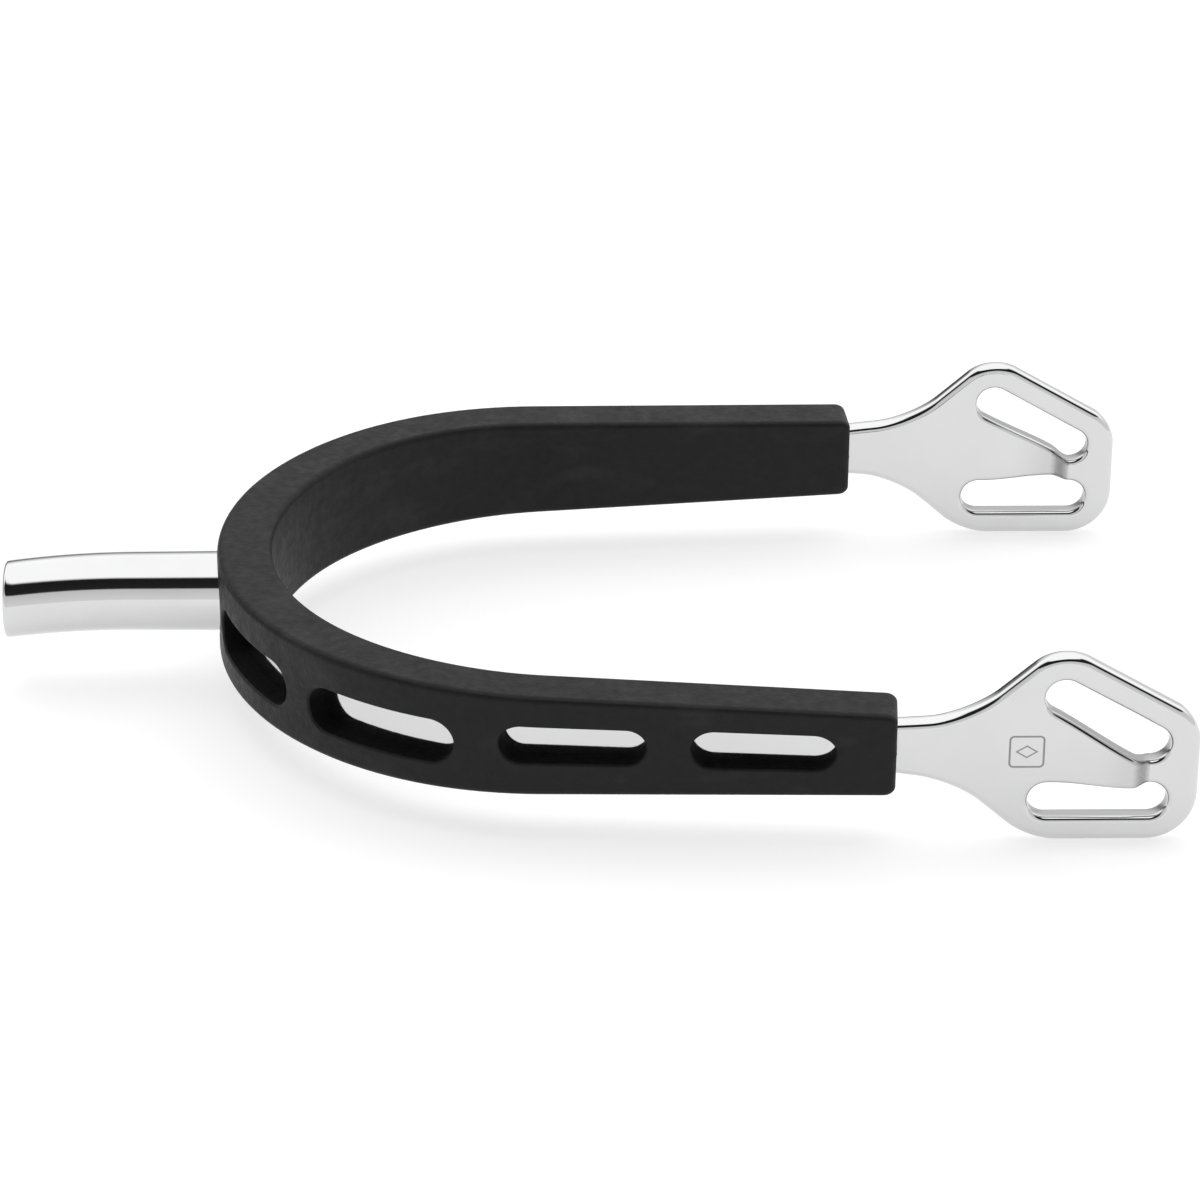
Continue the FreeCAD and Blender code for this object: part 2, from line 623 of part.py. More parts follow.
def build_grip_sleeve(band):
    """The rubber moulding: its blank less the band, the neck's hole, the tenon's end and eight windows."""
    blank = build_sleeve_blank()
    straight = "(90 - Sizes.branch_flare)"
    windows = [
        ("heel_window_length", "heel_window_height", "Sizes.first_bearing", "0",
         "Sizes.heel_window_rise"),
        ("heel_window_length", "heel_window_height", "Sizes.second_bearing", "0",
         "Sizes.heel_window_rise"),
        ("branch_window_length", "branch_window_height", straight, "Sizes.third_along",
         "Sizes.branch_window_rise"),
        ("branch_window_length", "branch_window_height", straight, "Sizes.fourth_along",
         "Sizes.branch_window_rise"),
    ]
    tools = []
    for side_name, side in (("right", "-"), ("left", "")):
        for number, (length, height, bearing, along, rise) in enumerate(windows, start=1):
            label = "window_%s_%d" % (side_name, number)
            tools.append(build_window_tool(label, side, length, height, bearing, along, rise))
    hole = doc.addObject("Part::Cylinder", "neck_hole")
    hole.setExpression("Radius", "Sizes.neck_diameter / 2 + Sizes.neck_gap")
    hole.setExpression("Height", "Sizes.band_thickness / 2 + Sizes.outer_wall + " + PAST)
    hole.Placement = FreeCAD.Placement(FreeCAD.Vector(), FreeCAD.Rotation(FreeCAD.Vector(0, 1, 0), -90))
    hole.setExpression("Placement.Base.x", "-Sizes.inner_wall - Sizes.band_thickness / 2")
    socket = doc.addObject("Part::Cylinder", "tenon_socket")
    socket.setExpression("Radius", "Sizes.tenon_diameter / 2 + Sizes.tenon_clearance")
    socket.setExpression("Height", "Sizes.band_thickness + Sizes.tenon_gap")
    socket.Placement = FreeCAD.Placement(FreeCAD.Vector(), FreeCAD.Rotation(FreeCAD.Vector(0, 1, 0), -90))
    socket.setExpression("Placement.Base.x", "Sizes.tenon_gap - Sizes.inner_wall")
    inside = doc.addObject("Part::MultiFuse", "sleeve_openings")
    inside.Shapes = tools + [hole, socket]
    pierced = doc.addObject("Part::Cut", "pierced_sleeve")
    pierced.Base = blank
    pierced.Tool = inside
    sleeve = doc.addObject("Part::Cut", "grip_sleeve")
    sleeve.Base = pierced
    sleeve.Tool = band
    sleeve.Label = "grip_sleeve"
    doc.recompute()
    return sleeve


# ---------------------------------------------------------------- build, check, export
heel_band = build_heel_band()
neck = build_neck()
grip_sleeve = build_grip_sleeve(heel_band)
doc.recompute()

for item in doc.Objects:
    if "Invalid" in item.State or "Error" in item.State:
        raise RuntimeError(item.Name + " failed: " + str(item.State))

nodes = [heel_band, neck, grip_sleeve]
for node in nodes:
    if node.Shape.isNull() or not node.Shape.isValid() or len(node.Shape.Solids) != 1:
        raise RuntimeError(node.Label + " is not one valid solid")

os.makedirs("parts", exist_ok=True)
for node in nodes:
    node.Shape.exportStep("parts/" + node.Label + ".step")
    box = node.Shape.BoundBox
    print("%s  volume %.1f  x %.2f..%.2f  y %.2f..%.2f  z %.2f..%.2f" % (
        node.Label, node.Shape.Volume, box.XMin, box.XMax, box.YMin, box.YMax, box.ZMin, box.ZMax))
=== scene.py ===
import math

import bmesh
import bpy
from bpy.props import FloatProperty, FloatVectorProperty, IntProperty, PointerProperty
from mathutils import Matrix, Vector


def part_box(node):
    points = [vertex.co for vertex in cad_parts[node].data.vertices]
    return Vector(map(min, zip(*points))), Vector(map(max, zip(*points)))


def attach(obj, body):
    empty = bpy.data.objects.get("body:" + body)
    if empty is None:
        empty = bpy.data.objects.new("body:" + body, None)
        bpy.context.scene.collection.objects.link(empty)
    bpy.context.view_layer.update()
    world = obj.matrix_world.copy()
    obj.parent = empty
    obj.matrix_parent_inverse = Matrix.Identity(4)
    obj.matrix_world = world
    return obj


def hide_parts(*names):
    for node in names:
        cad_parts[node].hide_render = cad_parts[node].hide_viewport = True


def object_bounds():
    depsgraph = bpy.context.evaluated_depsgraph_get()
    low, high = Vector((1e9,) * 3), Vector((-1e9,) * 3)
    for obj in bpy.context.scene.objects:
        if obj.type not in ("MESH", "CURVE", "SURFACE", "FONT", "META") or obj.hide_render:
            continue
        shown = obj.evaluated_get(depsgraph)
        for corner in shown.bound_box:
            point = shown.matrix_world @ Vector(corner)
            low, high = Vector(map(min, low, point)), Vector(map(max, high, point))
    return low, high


bl_info = {
    "name": "Riding Spur",
    "version": (1, 0, 0),
    "blender": (4, 5, 0),
    "location": "3D View > Sidebar > Spur",
    "description": "Builds an English riding spur: steel heel band, neck and rubber grip sleeve",
    "category": "Object",
}

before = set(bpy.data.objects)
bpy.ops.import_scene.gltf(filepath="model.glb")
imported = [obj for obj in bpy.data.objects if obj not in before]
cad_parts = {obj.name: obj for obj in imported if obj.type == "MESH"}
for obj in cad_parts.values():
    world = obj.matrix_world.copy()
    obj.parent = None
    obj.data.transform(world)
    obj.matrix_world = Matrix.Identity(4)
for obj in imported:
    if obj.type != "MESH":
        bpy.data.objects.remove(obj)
CAD_BOX = [list(corner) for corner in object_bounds()]
BAND_LOW, BAND_HIGH = (Vector(corner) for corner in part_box("heel_band"))
SLEEVE_HIGH = Vector(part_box("grip_sleeve")[1])

MM = 0.001
TIGHT = 1e-7                       # two points this close are one point
HEEL_STEP = 1.6 * MM               # longest facet round the heel
BEND_STEP = 0.5 * MM               # longest facet in the bend from branch to plate
BRANCH_STEP = 2.0 * MM             # longest facet of the rubber along a branch
TONGUE_STEP = 0.4 * MM             # longest facet of the tongue between the slots
NECK_STEP = 0.8 * MM               # longest facet along the neck
CORNER_SEGMENTS = 14               # facets in a rounded corner of an outline
FLAT_ANGLE = math.radians(0.5)     # faces closer than this to one plane are joined
# The two tongue numbers below set painted shade: a darker steel colour on the tongue in place of the dark
# reflection at its step.
TONGUE_PAINTED_SHADE = 0.3                 # how far the tongue darkens up to its crest
STEP_PAINTED_SHADE = 3.4                   # how much darker the tongue's step down to the rim is


def millimetres(name, default, description):
    """A length property whose default is given in millimetres."""
    return FloatProperty(
        name=name, description=description, default=default * MM, unit="LENGTH", precision=5)


def degrees(name, default, description):
    """An angle property whose default is given in degrees."""
    return FloatProperty(name=name, description=description, default=math.radians(default), unit="ROTATION")


def shade(name, default, description):
    """A colour property."""
    return FloatVectorProperty(
        name=name, description=description, default=default, size=3, min=0.0, max=1.0, subtype="COLOR")


def factor(name, default, description, high=1.0):
    """A plain number from nought upwards."""
    return FloatProperty(name=name, description=description, default=default, min=0.0, max=high)


# ---------------------------------------------------------------- properties
class SpurCurve(bpy.types.PropertyGroup):
    """Plan of the heel band, shared by the steel and the rubber."""

    seat_radius: millimetres("Seat radius", 35.8, "Radius of the sleeve's inner face round the boot heel")
    flare: degrees("Branch flare", 3.95, "Each branch of the rubber opens outwards by this angle")
    band_flare: degrees("Band flare", 5.0, "The steel opens a little more than its rubber")
    inner_wall: millimetres("Inner wall", 1.45, "Rubber between the boot and the steel at the heel")
    thickness: millimetres("Band thickness", 2.7, "Thickness of the steel")
    outer_wall: millimetres("Outer wall", 2.65, "Rubber outside the steel at the heel")
    plate_spread: millimetres("Plate spread", 3.8, "How far the plates lie outside the heel curve's radius")
    bend_radius: millimetres("Plate bend", 60.0, "Radius that turns each branch into its plate")


class SpurBand(bpy.types.PropertyGroup):
    """Side view of the heel band and its strap plates."""

    heel_height: millimetres("Heel height", 11.2, "Height of the steel inside the sleeve at the heel")
    exit_height: millimetres("Exit height", 6.8, "Height of the steel where it leaves the sleeve")
    brow_height: millimetres("Brow height", 3.77, "Height at which the sloping top edge meets the end")
    brow_angle: degrees("Brow angle", 30.0, "Slope of the plate's top edge and of the upper slot")
    peak_back: millimetres("Peak", 16.8, "Distance of the peak from the plate's end")
    foot_back: millimetres("Foot", 19.8, "Distance of the foot from the plate's end")
    crook_top_back: millimetres("Upper crook", 27.3, "Distance of the upper crook from the plate's end")
    crook_low_back: millimetres("Lower crook", 29.1, "Distance of the lower crook from the plate's end")
    crook_height: millimetres("Crook height", 4.12, "Half height of the steel at the crooks")
    peak_radius: millimetres("Peak radius", 5.6, "Rounding of the peak")
    brow_radius: millimetres("Brow radius", 5.1, "Rounding where the slope meets the end")
    heel_radius: millimetres("Lower end radius", 6.0, "Rounding of the plate's lower end corner")
    foot_radius: millimetres("Foot radius", 9.0, "Rounding of the foot")
    crook_radius: millimetres("Crook radius", 14.0, "Rounding of both crooks")
    slot_length: millimetres("Slot length", 16.5, "Strap slot, end to end")
    slot_width: millimetres("Slot width", 4.5, "Strap slot across")
    rim: millimetres("Rim", 3.55, "Steel between the slots and the plate's end")
    upper_bar: millimetres("Upper bar", 3.3, "Steel above the upper slot")
    lower_bar: millimetres("Lower bar", 3.17, "Steel below the lower slot")
    tongue_length: millimetres("Tongue length", 11.5, "From the slots' round ends back to its root")
    tongue_drop: millimetres("Tongue drop", 2.2, "Length over which the tongue drops back to the rim")
    tongue_rise: millimetres("Tongue rise", 1.6, "How far the tongue stands outside the rim")
    edge_round: millimetres("Edge rounding", 1.0, "Polished rounding of the plate's outer edges")
    slot_round: millimetres("Slot rounding", 0.7, "Polished rounding of the slots' edges")


class SpurNeck(bpy.types.PropertyGroup):
    """The short blunt neck."""

    straight: millimetres("Straight", 13.6, "Length before the neck starts to droop")
    bend_radius: millimetres("Bend radius", 117.0, "Radius of the droop")
    diameter: millimetres("Diameter", 10.05, "Diameter at the root")
    tip_diameter: millimetres("Tip diameter", 9.7, "Diameter at the tip")
    edge_round: millimetres("Edge rounding", 0.5, "Rounding of the tip's edge")
    seat_depth: millimetres("Seat depth", 0.35, "How deep the neck's shoulder sits in the band")
    sides: IntProperty(name="Sides", description="Facets round the neck", default=128, min=12)


class SpurSleeve(bpy.types.PropertyGroup):
    """The rubber grip sleeve and its windows."""

    heel_height: millimetres("Heel height", 13.9, "Height of the sleeve at the heel")
    taper_start: millimetres("Taper start", 6.0, "Distance along X at which the sleeve starts to get lower")
    taper_angle: degrees("Taper angle", 1.6, "Slope of the sleeve's top and bottom along the branches")
    taper_blend: millimetres("Taper blend", 700.0, "Radius that leads from level into that slope")
    edge_round: millimetres("Edge rounding", 0.9, "Rounding of the long edges")
    corner_radius: millimetres("Corner radius", 1.4, "Rounding of the open ends' corners")
    heel_window_length: millimetres("Heel window length", 20.4, "Windows round the heel, end to end")
    heel_window_height: millimetres("Heel window height", 5.7, "Windows round the heel")
    heel_window_rise: millimetres("Heel window rise", -0.57, "Heel windows' rise above mid-height")
    branch_window_length: millimetres("Branch window length", 17.0, "Windows along the branches")
    branch_window_height: millimetres("Branch window height", 4.6, "Windows along the branches")
    branch_window_rise: millimetres("Branch window rise", 0.25, "Branch windows' rise above mid-height")
    first_bearing: degrees("First bearing", 24.7, "Angle round the heel to the first window")
    second_bearing: degrees("Second bearing", 58.1, "Angle round the heel to the second window")
    third_along: millimetres("Third window", 3.9, "Its middle's distance past the heel curve's end")
    fourth_along: millimetres("Fourth window", 26.1, "Its middle's distance past the heel curve's end")
    heel_lip: millimetres("Heel window lip", 0.35, "Rounding of the heel windows' outer edges")
    branch_lip: millimetres("Branch window lip", 0.35, "Rounding of the branch windows' outer edges")
    neck_gap: millimetres("Neck gap", 0.12, "Air between the neck and the rubber")
    neck_lip: millimetres("Neck hole lip", 0.15, "Rounding of the hole for the neck")
    seam_height: millimetres("Seam height", 0.05, "How far the mould's parting line stands out")
    seam_width: millimetres("Seam width", 0.5, "Width of that line")


class SpurFinish(bpy.types.PropertyGroup):
    """Colours and finishes."""

    steel: shade("Steel", (0.67, 0.67, 0.675), "Polished stainless steel")
    steel_roughness: factor("Steel roughness", 0.07, "Roughness of the polish")
    rubber: shade("Rubber", (0.0058, 0.0058, 0.006), "Black rubber")
    rubber_roughness: factor("Rubber roughness", 0.52, "Roughness of the rubber")
    floor: shade("Floor", (0.5, 0.5, 0.5), "Pale floor")


class SpurStage(bpy.types.PropertyGroup):
    """Camera and light."""

    lens: FloatProperty(name="Lens", description="Focal length in millimetres", default=140.42, min=1.0)
    camera_place: FloatVectorProperty(
        name="Camera", description="Where the camera stands", size=3, subtype="XYZ", unit="LENGTH",
        precision=5, default=(0.027343, -0.525815, 0.257193))
    yaw: degrees("Camera yaw", -1.467, "Turn of the camera about the vertical")
    tilt: degrees("Camera tilt", 63.80, "Zero looks straight down, 90 looks level")
    roll: degrees("Camera roll", 0.37, "Turn of the camera about its own view")
    top_light: factor("Top light", 1.0, "Power of the overhead softbox in watts", high=100.0)
    floor_size: FloatProperty(
        name="Floor size", description="Width of the floor", default=8.0, unit="LENGTH")


# ---------------------------------------------------------------- plan of the band
class Course:
    """A middle line in plan: round the heel, then straight along a branch."""

    def __init__(self, curve, radius, flare):
        self.radius = radius
        self.heel_x = curve.seat_radius - radius
        self.flare = flare
        self.arc = radius * (math.pi / 2 - flare)
        self.straight = math.inf
        self.legs = [(self.arc, -1 / radius)]

    def bend_into_plates(self, spread, bend_radius):
        """End each branch in a plate that runs straight ahead, this far outside the heel curve."""
        spread += (self.radius - bend_radius) * (1 - math.cos(self.flare))
        self.straight = spread / math.sin(self.flare)
        self.bend = bend_radius * self.flare
        self.legs += [(self.straight, 0.0), (self.bend, -1 / bend_radius)]

    def at(self, distance):
        """(point, outward direction) at a signed distance from the heel, in the XY plane."""
        side = math.copysign(1.0, distance)
        left = abs(distance)
        heading = math.pi / 2
        point = Vector((self.heel_x, 0.0, 0.0))
        for length, curvature in self.legs + [(math.inf, 0.0)]:
            step = min(left, length)
            if curvature:
                turn = curvature * step
                point.x += (math.sin(heading + turn) - math.sin(heading)) / curvature
                point.y += (math.cos(heading) - math.cos(heading + turn)) / curvature
                heading += turn
            else:
                point += step * Vector((math.cos(heading), math.sin(heading), 0.0))
            left -= step
            if left <= 0:
                break
        outward = Vector((-math.sin(heading), math.cos(heading), 0.0))
        return Vector((point.x, side * point.y, 0.0)), Vector((outward.x, side * outward.y, 0.0))

    def distance_to(self, place_x):
        """Distance from the heel at which the line reaches this x."""
        low, high = 0.0, 1.0
        while high - low > TIGHT:
            middle = (low + high) / 2
            if self.at(middle)[0].x < place_x:
                low = middle
            else:
                high = middle
        return low

    def stations(self, reach, heel_step, bend_step):
        """Signed distances at which a flat blank is cut across, so that it bends smoothly."""
        places = evenly(0.0, min(self.arc, reach), heel_step)
        bend_start = self.arc + self.straight
        if reach > bend_start:
            places += evenly(bend_start, bend_start + self.bend, bend_step)
        return sorted({-place for place in places} | set(places))


def steel_course(curve):
    """The middle line of the steel."""
    course = Course(curve, curve.seat_radius + curve.inner_wall + curve.thickness / 2, curve.band_flare)
    course.bend_into_plates(curve.plate_spread, curve.bend_radius)
    return course


def rubber_course(curve):
    """The middle line of the rubber."""
    return Course(curve, curve.seat_radius + rubber_depth(curve) / 2, curve.flare)


def rubber_depth(curve):
    """Thickness of the rubber with the steel inside it."""
    return curve.inner_wall + curve.thickness + curve.outer_wall


def evenly(start, end, step):
    """Numbers from start to end, at most a step apart."""
    count = max(1, math.ceil((end - start) / step))
    return [start + (end - start) * number / count for number in range(count + 1)]


# ---------------------------------------------------------------- flat blanks
# A blank is built flat and then bent.  Its x is the distance along the band, its y the
# distance outwards from the steel's middle and its z the height.
def outline(bm, corners, depth):
    """A flat face from (along, height, radius) corners, each corner rounded by its radius."""
    verts = [bm.verts.new((along, depth, height)) for along, height, _ in corners]
    bm.faces.new(verts)
    for number, (vert, (_, _, radius)) in enumerate(zip(verts, corners)):
        if radius <= 0:
            continue
        here = Vector(corners[number][:2])
        before = Vector(corners[number - 1][:2]) - here
        after = Vector(corners[(number + 1) % len(corners)][:2]) - here
        reach = radius / math.tan(before.angle(after) / 2)
        bmesh.ops.bevel(
            bm, geom=[vert], offset=reach, offset_type="OFFSET", segments=CORNER_SEGMENTS, profile=0.5,
            affect="VERTICES", clamp_overlap=False, material=-1)
    bmesh.ops.remove_doubles(bm, verts=bm.verts, dist=TIGHT)
    bm.faces.ensure_lookup_table()
    return bm.faces[0]


def slab(bm, corners, near, far, rounding):
    """Extrude an outline from y = near to y = far, round both its rims, return both caps."""
    first = outline(bm, corners, near + rounding)
    made = bmesh.ops.extrude_face_region(bm, geom=[first], use_keep_orig=True)["geom"]
    moved = [item for item in made if isinstance(item, bmesh.types.BMVert)]
    bmesh.ops.translate(bm, verts=moved, vec=(0.0, far - near - 2 * rounding, 0.0))
    second = next(item for item in made if isinstance(item, bmesh.types.BMFace))
    bmesh.ops.recalc_face_normals(bm, faces=bm.faces)
    if rounding > 0:
        for cap in (first, second):
            round_rim(bm, cap, rounding)
    return first, second


def round_rim(bm, cap, radius, steps=6):
    """Round the rim of a flat face with a quarter circle of insets."""
    for step in range(steps):
        start = math.pi / 2 * step / steps
        end = math.pi / 2 * (step + 1) / steps
        bmesh.ops.inset_region(
            bm, faces=[cap], use_boundary=True, use_even_offset=True,
            thickness=radius * (math.cos(start) - math.cos(end)),
            depth=radius * (math.sin(end) - math.sin(start)))


def ring(bm, place, length, width, depth, sides=24):
    """A slot's outline with round ends, as a loop of edges: place is (along, height, tilt)."""
    along, height, tilt = place
    half_step = math.pi / sides
    made = bmesh.ops.create_circle(
        bm, segments=sides * 2, radius=width / 2 / math.cos(half_step / 2),
        matrix=Matrix.Rotation(half_step / 2, 4, "Z"))["verts"]
    for vert in made:
        vert.co.x += math.copysign((length - width) / 2, vert.co.x)
    turn = Matrix.Translation((along, depth, height)) @ Matrix.Rotation(tilt, 4, "Y")
    bmesh.ops.transform(bm, matrix=turn @ Matrix.Rotation(math.pi / 2, 4, "X"), verts=made)
    return list({edge for vert in made for edge in vert.link_edges})


def lip(surface, inward, radius, steps=4):
    """(growth, depth) pairs that round a hole's edge at a surface, from the surface inwards."""
    pairs = []
    for step in range(steps + 1):
        angle = math.pi / 2 * step / steps
        pairs.append((radius * (1 - math.sin(angle)), surface + inward * radius * (1 - math.cos(angle))))
    return pairs


def sink(bm, place, length, width, section):
    """A hole's walls through rings of (growth, depth); returns the first and last ring."""
    rings = []
    for growth, depth in section:
        rings.append(ring(bm, place, length + 2 * growth, width + 2 * growth, depth))
        # The bare walls of each hole are marked here. The steel gives them a duller sawn finish that is
        # also painted darker as shade, and the rubber paints them near black as painted shade in the
        # recesses.
        if growth < TIGHT:
            for vert in {vert for edge in rings[-1] for vert in edge.verts}:
                vert[bm.verts.layers.float["cut_wall_and_painted_shade"]] = 1.0
    for outer, inner in zip(rings, rings[1:]):
        bmesh.ops.bridge_loops(bm, edges=outer + inner)
    return rings[0], rings[-1]


def refill(bm, cap, rings):
    """Replace a flat face by one with holes at the given rings."""
    rim = list(cap.edges)
    normal = cap.normal.copy()
    bmesh.ops.delete(bm, geom=[cap], context="FACES_ONLY")
    edges = rim + [edge for loop in rings for edge in loop]
    made = bmesh.ops.triangle_fill(bm, edges=edges, use_beauty=True, normal=normal)["geom"]
    faces = [item for item in made if isinstance(item, bmesh.types.BMFace)]
    inner = {edge for face in faces for edge in face.edges} - set(edges)
    bmesh.ops.dissolve_limit(
        bm, angle_limit=FLAT_ANGLE, edges=list(inner), verts=[], delimit=set())


def cut_across(bm, places, axis=(1.0, 0.0, 0.0)):
    """Cut the whole blank at each distance along one axis."""
    for place in places:
        geometry = list(bm.verts) + list(bm.edges) + list(bm.faces)
        bmesh.ops.bisect_plane(
            bm, geom=geometry, dist=TIGHT, plane_co=place * Vector(axis), plane_no=axis)


def bend_round_heel(bm, course):
    """Lay a flat blank along the band's course."""
    for vert in bm.verts:
        point, outward = course.at(vert.co.x)
        vert.co = Vector((point.x, point.y, vert.co.z)) + vert.co.y * outward


# ---------------------------------------------------------------- pieces
def finish_piece(bm, name, nodes, material, sharp=35.0):
    """Turn a mesh into a piece that rides on the body and stands for its CAD nodes."""
    bmesh.ops.remove_doubles(bm, verts=bm.verts, dist=TIGHT)
    bmesh.ops.recalc_face_normals(bm, faces=bm.faces)
    for face in bm.faces:
        face.smooth = True
    mesh = bpy.data.meshes.new(name)
    bm.to_mesh(mesh)
    bm.free()
    mesh.set_sharp_from_angle(angle=math.radians(sharp))
    piece = bpy.data.objects.new(name, mesh)
    bpy.context.scene.collection.objects.link(piece)
    weighted = piece.modifiers.new("Flat faces stay flat", "WEIGHTED_NORMAL")
    weighted.keep_sharp = True
    weighted.weight = 80
    mesh.materials.append(material)
    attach(piece, "root")
    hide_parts(*nodes)
    return piece


def plate_places(band):
    """Where the strap slots lie on the +Y plate: x of their tips and both heights there."""
    tip_x = BAND_HIGH.x - band.rim - band.slot_width / 2
    rise = math.tan(band.brow_angle) * (BAND_HIGH.x - tip_x)
    upper = band.brow_height + rise - (band.upper_bar + band.slot_width / 2) / math.cos(band.brow_angle)
    lower = BAND_LOW.z + band.lower_bar + band.slot_width / 2
    return tip_x, upper, lower


def slot_places(band, course):
    """(along, height, tilt) of all four strap slots."""
    tip_x, upper, lower = plate_places(band)
    tip = course.distance_to(tip_x)
    half = (band.slot_length - band.slot_width) / 2
    places = []
    for side in (1, -1):
        along = tip - half * math.cos(band.brow_angle)
        places.append((side * along, upper + half * math.sin(band.brow_angle), side * band.brow_angle))
        places.append((side * (tip - half), lower, 0.0))
    return places


def press_tongues(bm, band, course):
    """Press the steel between each plate's slots outwards, step it back at the rim and darken it with
    painted shade.
    """
    tip_x, upper, lower = plate_places(band)
    tip = course.distance_to(tip_x)
    root = tip - band.tongue_length
    crest = tip - band.tongue_drop
    slope = math.tan(band.brow_angle)
    cut_wall_and_painted_shade = bm.verts.layers.float["cut_wall_and_painted_shade"]
    for vert in bm.verts:
        along = abs(vert.co.x)
        if not root < along < tip or not lower < vert.co.z < upper + slope * (tip - along):
            continue
        # Painted shade: the tongue's colour darkens towards its crest and most on its step down to the rim,
        # in place of the darker reflection there.
        if along < crest:
            share = ease((along - root) / (crest - root))
            vert[cut_wall_and_painted_shade] = max(vert[cut_wall_and_painted_shade], TONGUE_PAINTED_SHADE * share ** 4)
        else:
            past = (along - crest) / (tip - crest)
            share = 1 - ease(past)
            painted_shade_here = TONGUE_PAINTED_SHADE + STEP_PAINTED_SHADE * past * (1 - past)
            vert[cut_wall_and_painted_shade] = max(vert[cut_wall_and_painted_shade], min(1.0, painted_shade_here))
        vert.co.y += band.tongue_rise * share


def ease(share):
    """A smooth step from nought to one."""
    share = min(1.0, max(0.0, share))
    return share * share * (3 - 2 * share)


def mirrored(corners):
    """Corners of the +Y half, then the same on the -Y half, going round."""
    return corners + [(-along, height, radius) for along, height, radius in reversed(corners)]


class SPUR_OT_band(bpy.types.Operator):
    """Steel heel band with its slotted strap plates"""

    bl_idname = "spur.band"
    bl_label = "Heel Band"

    def execute(self, context):
        curve = context.scene.spur_curve
        band = context.scene.spur_band
        sleeve = context.scene.spur_sleeve
        course = steel_course(curve)
        end = course.distance_to(BAND_HIGH.x)
        leave = course.distance_to(SLEEVE_HIGH.x)
        taper = course.distance_to(sleeve.taper_start)
        peak = band.brow_height + math.tan(band.brow_angle) * band.peak_back
        corners = mirrored([
            (taper, band.heel_height / 2, 0.0),
            (leave, band.exit_height / 2, 0.0),
            (end - band.crook_top_back, band.crook_height, band.crook_radius),
            (end - band.peak_back, peak, band.peak_radius),
            (end, band.brow_height, band.brow_radius),
            (end, BAND_LOW.z, band.heel_radius),
            (end - band.foot_back, BAND_LOW.z, band.foot_radius),
            (end - band.crook_low_back, -band.crook_height, band.crook_radius),
            (leave, -band.exit_height / 2, 0.0),
            (taper, -band.heel_height / 2, 0.0),
        ])
        half = curve.thickness / 2
        bm = bmesh.new()
        bm.verts.layers.float.new("cut_wall_and_painted_shade")
        inside, outside = slab(bm, corners, -half, half, band.edge_round)
        section = lip(half, -1, band.slot_round) + lip(-half, 1, band.slot_round)[::-1]
        holes = [
            sink(bm, place, band.slot_length, band.slot_width, section)
            for place in slot_places(band, course)
        ]
        refill(bm, outside, [first for first, _ in holes])
        refill(bm, inside, [last for _, last in holes])
        tip = course.distance_to(plate_places(band)[0])
        tongue = evenly(tip - band.tongue_length, tip, TONGUE_STEP)
        cut_across(bm, course.stations(end, HEEL_STEP, BEND_STEP))
        cut_across(bm, tongue + [-place for place in tongue])
        press_tongues(bm, band, course)
        bend_round_heel(bm, course)
        finish_piece(bm, "steel_heel_band", ["heel_band"], polished_steel(context.scene))
        return {"FINISHED"}


class SPUR_OT_neck(bpy.types.Operator):
    """Short blunt neck, straight at first and drooping to its tip"""

    bl_idname = "spur.neck"
    bl_label = "Neck"

    def execute(self, context):
        curve = context.scene.spur_curve
        neck = context.scene.spur_neck
        root_x = -(curve.inner_wall + curve.thickness - neck.seat_depth)
        tip_x = CAD_BOX[0][0]
        corners = [(root_x, 0.0), (root_x, neck.diameter / 2), (tip_x, neck.tip_diameter / 2), (tip_x, 0.0)]
        bm = bmesh.new()
        verts = [bm.verts.new((x, 0.0, radius)) for x, radius in corners]
        for pair in zip(verts, verts[1:]):
            bm.edges.new(pair)
        bmesh.ops.bevel(
            bm, geom=[verts[2]], offset=neck.edge_round, offset_type="OFFSET", segments=6, profile=0.5,
            affect="VERTICES", clamp_overlap=True, material=-1)
        bmesh.ops.spin(
            bm, geom=list(bm.verts) + list(bm.edges), cent=(0, 0, 0), axis=(1, 0, 0), dvec=(0, 0, 0),
            angle=2 * math.pi, steps=neck.sides, use_merge=True, use_duplicate=False)
        bmesh.ops.remove_doubles(bm, verts=bm.verts, dist=TIGHT)
        cut_across(bm, evenly(tip_x + neck.edge_round, root_x, NECK_STEP)[1:-1])
        for vert in bm.verts:
            past = max(0.0, root_x - neck.straight - vert.co.x)
            vert.co.z -= neck.bend_radius - math.sqrt(neck.bend_radius ** 2 - past ** 2)
        finish_piece(bm, "steel_neck", ["neck"], polished_steel(context.scene))
        return {"FINISHED"}


def window_holes(bm, sleeve, neck, curve, course):
    """All eight windows and the neck's hole; returns their rings outside and on the steel."""
    surface = rubber_depth(curve) / 2
    steel = curve.thickness / 2
    heel_length = 2 * course.radius * math.asin(sleeve.heel_window_length / 2 / (course.radius + surface))
    heel = (heel_length, sleeve.heel_window_height, sleeve.heel_lip)
    branch = (sleeve.branch_window_length, sleeve.branch_window_height, sleeve.branch_lip)
    windows = [
        (course.radius * sleeve.first_bearing, sleeve.heel_window_rise, heel),
        (course.radius * sleeve.second_bearing, sleeve.heel_window_rise, heel),
        (course.arc + sleeve.third_along, sleeve.branch_window_rise, branch),
        (course.arc + sleeve.fourth_along, sleeve.branch_window_rise, branch),
    ]
    holes = []
    for side in (1, -1):
        for along, rise, (length, height, rounding) in windows:
            lower = height / taper_share(sleeve, course, along)
            section = lip(surface, -1, rounding) + [(0.0, steel)]
            holes.append(sink(bm, (side * along, rise, 0.0), length, lower, section))
    hole = neck.diameter + 2 * sleeve.neck_gap
    width = 2 * course.radius * math.asin(hole / 2 / (course.radius + surface))
    section = lip(surface, -1, sleeve.neck_lip) + [(0.0, steel)]
    holes.append(sink(bm, (0.0, 0.0, 0.0), width, hole, section))
    return holes


